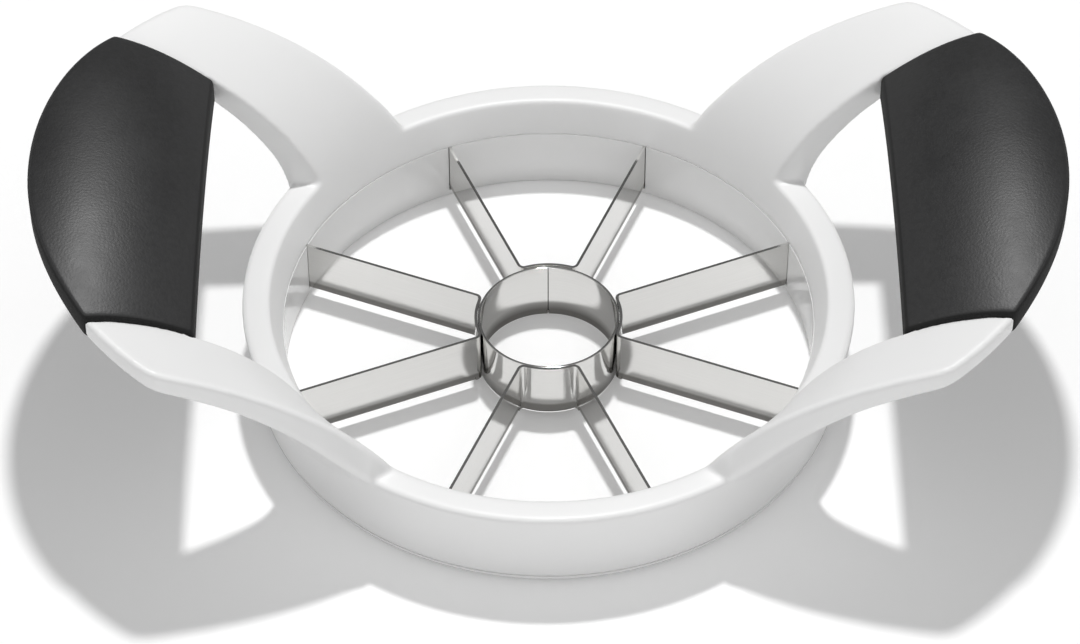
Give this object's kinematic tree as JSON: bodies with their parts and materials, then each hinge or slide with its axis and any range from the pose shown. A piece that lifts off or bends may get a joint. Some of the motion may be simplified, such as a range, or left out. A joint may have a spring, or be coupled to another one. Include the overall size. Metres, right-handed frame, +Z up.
{
  "type": "apple slicer",
  "caption": "Push-down apple slicer: white ring with two loop handles, grey soft grips, thin steel spoke blades and a corer tube.",
  "frame": {"origin": "on the ring's axis at table level, under the middle of the foot", "axes": "+Z up, +X from the left handle to the right handle, -Y towards the user"},
  "size_m": [0.179, 0.1092, 0.0531],
  "materials": {
    "white_plastic": "satin gloss",
    "grey_grip": "matt, fine grain",
    "steel": "ground, fine brushing"
  },
  "bodies": {
    "root": {"frame": "white_plastic", "blade_carrier": "white_plastic", "corer_tube": "steel", "blade_strip_right": "steel", "blade_strip_left": "steel", "blade_strip_front": "steel", "blade_strip_back": "steel", "right_grip": "grey_grip", "left_grip": "grey_grip"}
  },
  "joints": []
}
